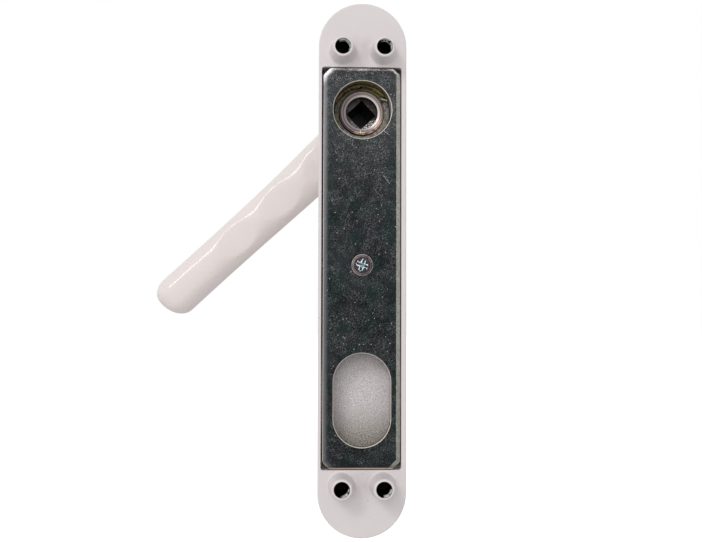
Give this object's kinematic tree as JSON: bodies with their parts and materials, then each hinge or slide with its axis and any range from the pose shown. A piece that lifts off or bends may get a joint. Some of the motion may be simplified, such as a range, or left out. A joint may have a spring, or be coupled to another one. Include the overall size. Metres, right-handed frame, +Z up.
{
  "type": "door lever handle",
  "caption": "Balcony door pull handle: long round-ended housing with a steel back plate, tapped bosses and a finger-grip lever with a square spindle socket.",
  "frame": {"origin": "on the spindle axis, in the mounting face that lies against the door", "axes": "+Z up along the housing, +Y into the door, -Y into the room, where the lever is"},
  "size_m": [0.1004, 0.0642, 0.2],
  "materials": {
    "white_paint": "satin",
    "white_gloss_paint": "gloss",
    "zinc_plated_steel": "satin",
    "screw_steel": "satin",
    "spring_steel": "satin",
    "washer_steel": "satin",
    "bush_plastic": "matte"
  },
  "bodies": {
    "housing": {"housing": "white_paint", "back_plate": "zinc_plated_steel", "plate_screw": "screw_steel", "spring_washer": "spring_steel", "flat_washer": "washer_steel", "neck_bush": "bush_plastic"},
    "lever": {"lever": "white_gloss_paint"}
  },
  "joints": [
    {"name": "lever_turn", "type": "hinge", "parent": "housing", "child": "lever", "pos_m": [0, 0, 0], "axis": [0, 1, 0], "range_deg": [-42.7, 47.3]}
  ]
}
